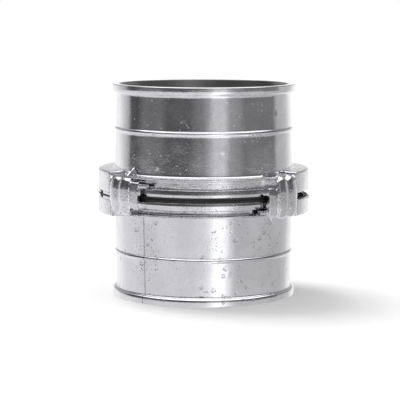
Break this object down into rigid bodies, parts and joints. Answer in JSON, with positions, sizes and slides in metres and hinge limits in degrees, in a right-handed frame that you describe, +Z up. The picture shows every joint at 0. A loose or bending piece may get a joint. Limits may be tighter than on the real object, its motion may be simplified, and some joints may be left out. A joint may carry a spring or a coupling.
{
  "type": "hose coupling",
  "caption": "Symmetric claw coupling for layflat hose: two like hose tails whose hooked claws lock by a twist, with a rubber face seal in each.",
  "frame": {"origin": "centre of the lower end face, which the coupling stands on", "axes": "+Z up along the waterway, from the lower tail to the upper; -Y faces the open window between the claws"},
  "size_m": [0.1204, 0.114, 0.1206],
  "materials": {
    "cast_aluminium": "tumbled die casting",
    "seal_rubber": "matt black"
  },
  "bodies": {
    "lower_half": {"lower_casting": "cast_aluminium", "lower_seal": "seal_rubber"},
    "upper_half": {"upper_casting": "cast_aluminium", "upper_seal": "seal_rubber"}
  },
  "joints": [
    {"name": "twist_lock", "type": "hinge", "parent": "lower_half", "child": "upper_half", "pos_m": [0, 0, 0.0591], "axis": [0, 0, 1], "range_deg": [-70, 0]}
  ]
}
